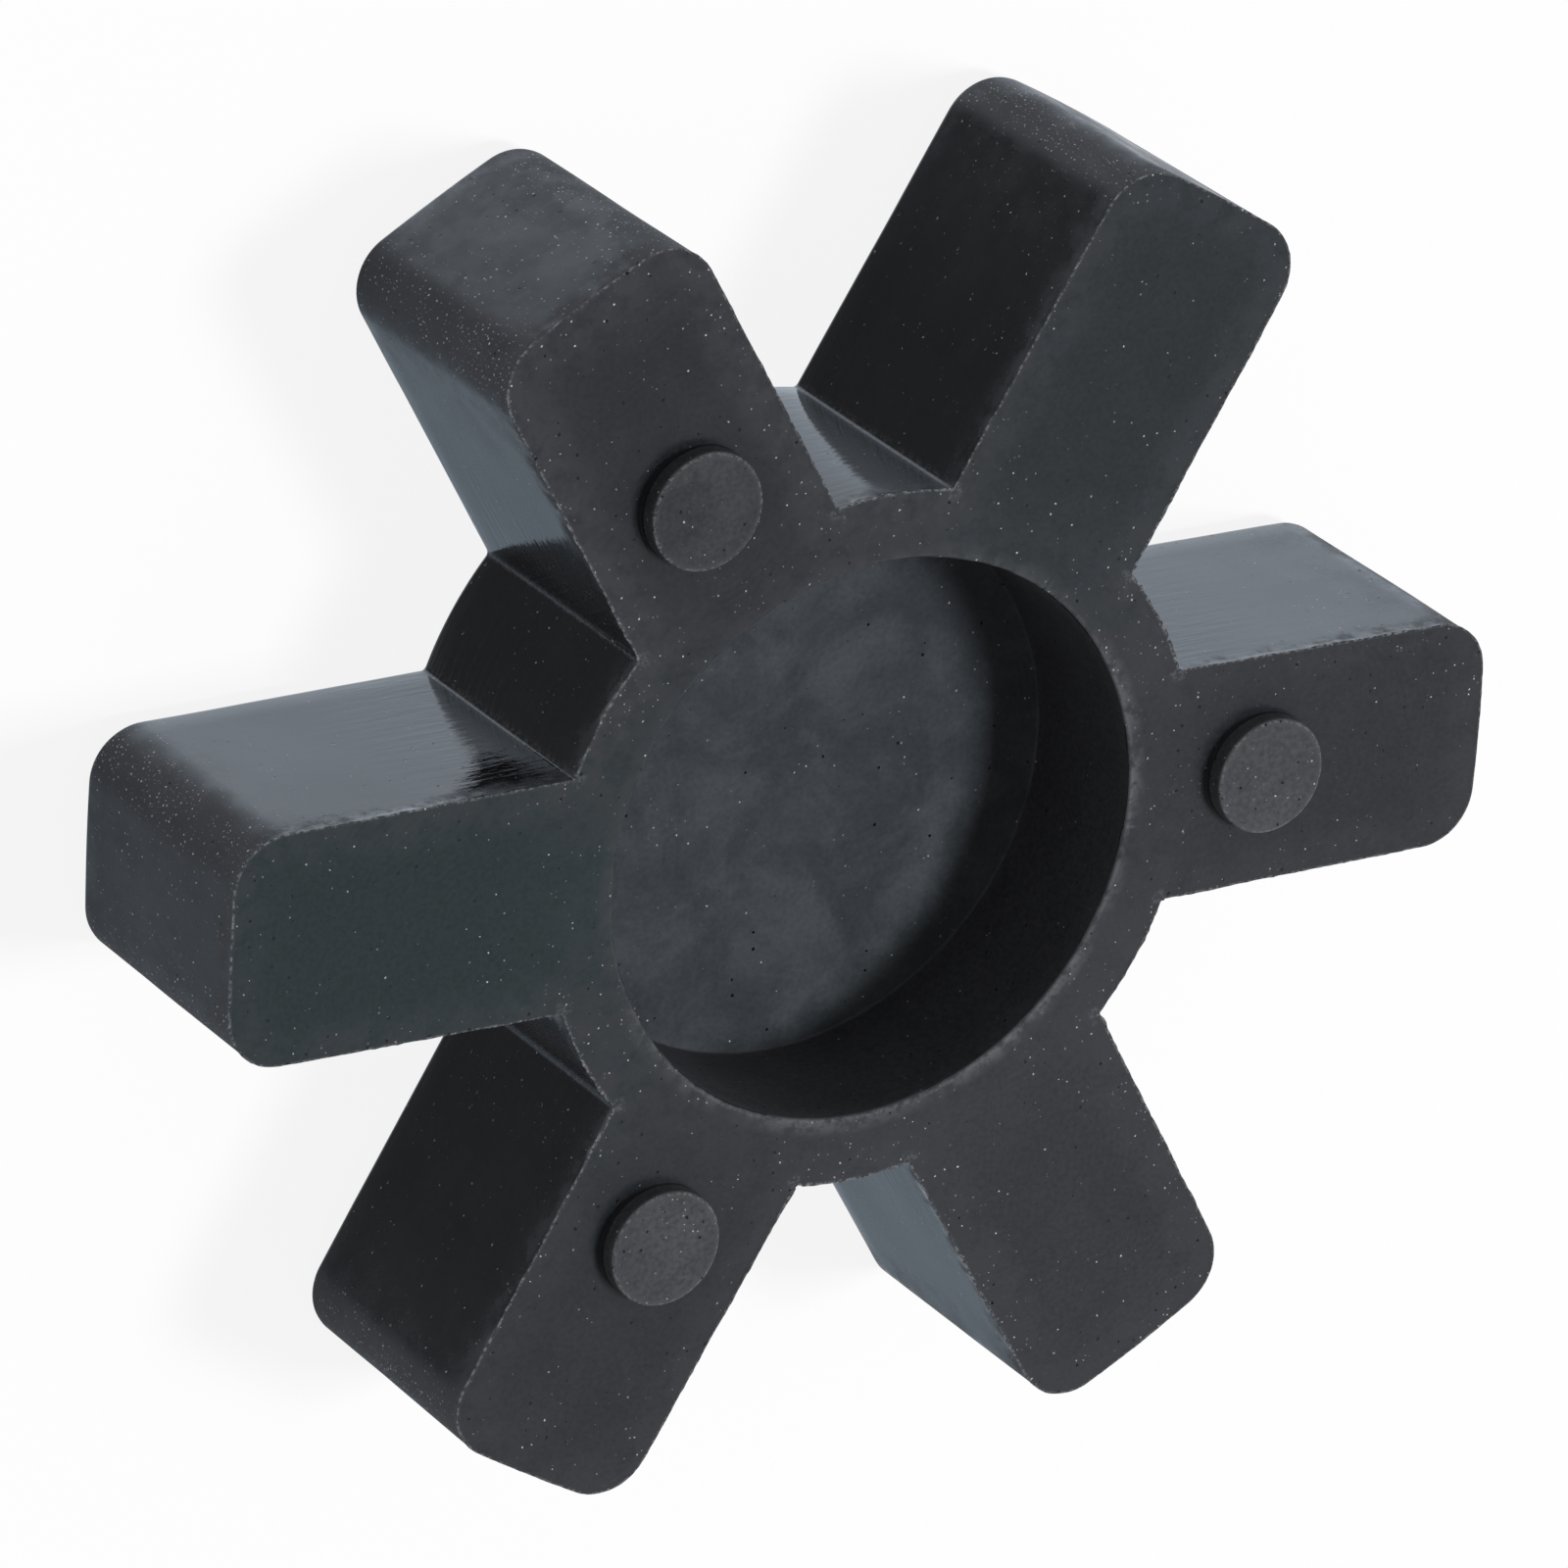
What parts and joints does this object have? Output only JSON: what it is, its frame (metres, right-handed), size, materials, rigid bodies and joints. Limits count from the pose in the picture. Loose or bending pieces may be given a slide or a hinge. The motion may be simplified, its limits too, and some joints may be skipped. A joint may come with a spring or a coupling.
{
  "type": "jaw coupling spider",
  "caption": "Star-shaped rubber insert of a jaw coupling: straight legs with rounded corners round a hub with a blind pocket, and low round nubs that space the coupling halves.",
  "frame": {"origin": "on the coupling's axis, in the plane of the rear nubs' end faces, which the part rests on", "axes": "+Z along the coupling's axis, out of the pocket; +X along a leg that has a front nub"},
  "size_m": [0.0536, 0.0494, 0.0131],
  "materials": {
    "rubber": "satin"
  },
  "bodies": {
    "root": {"spider": "rubber"}
  },
  "joints": []
}
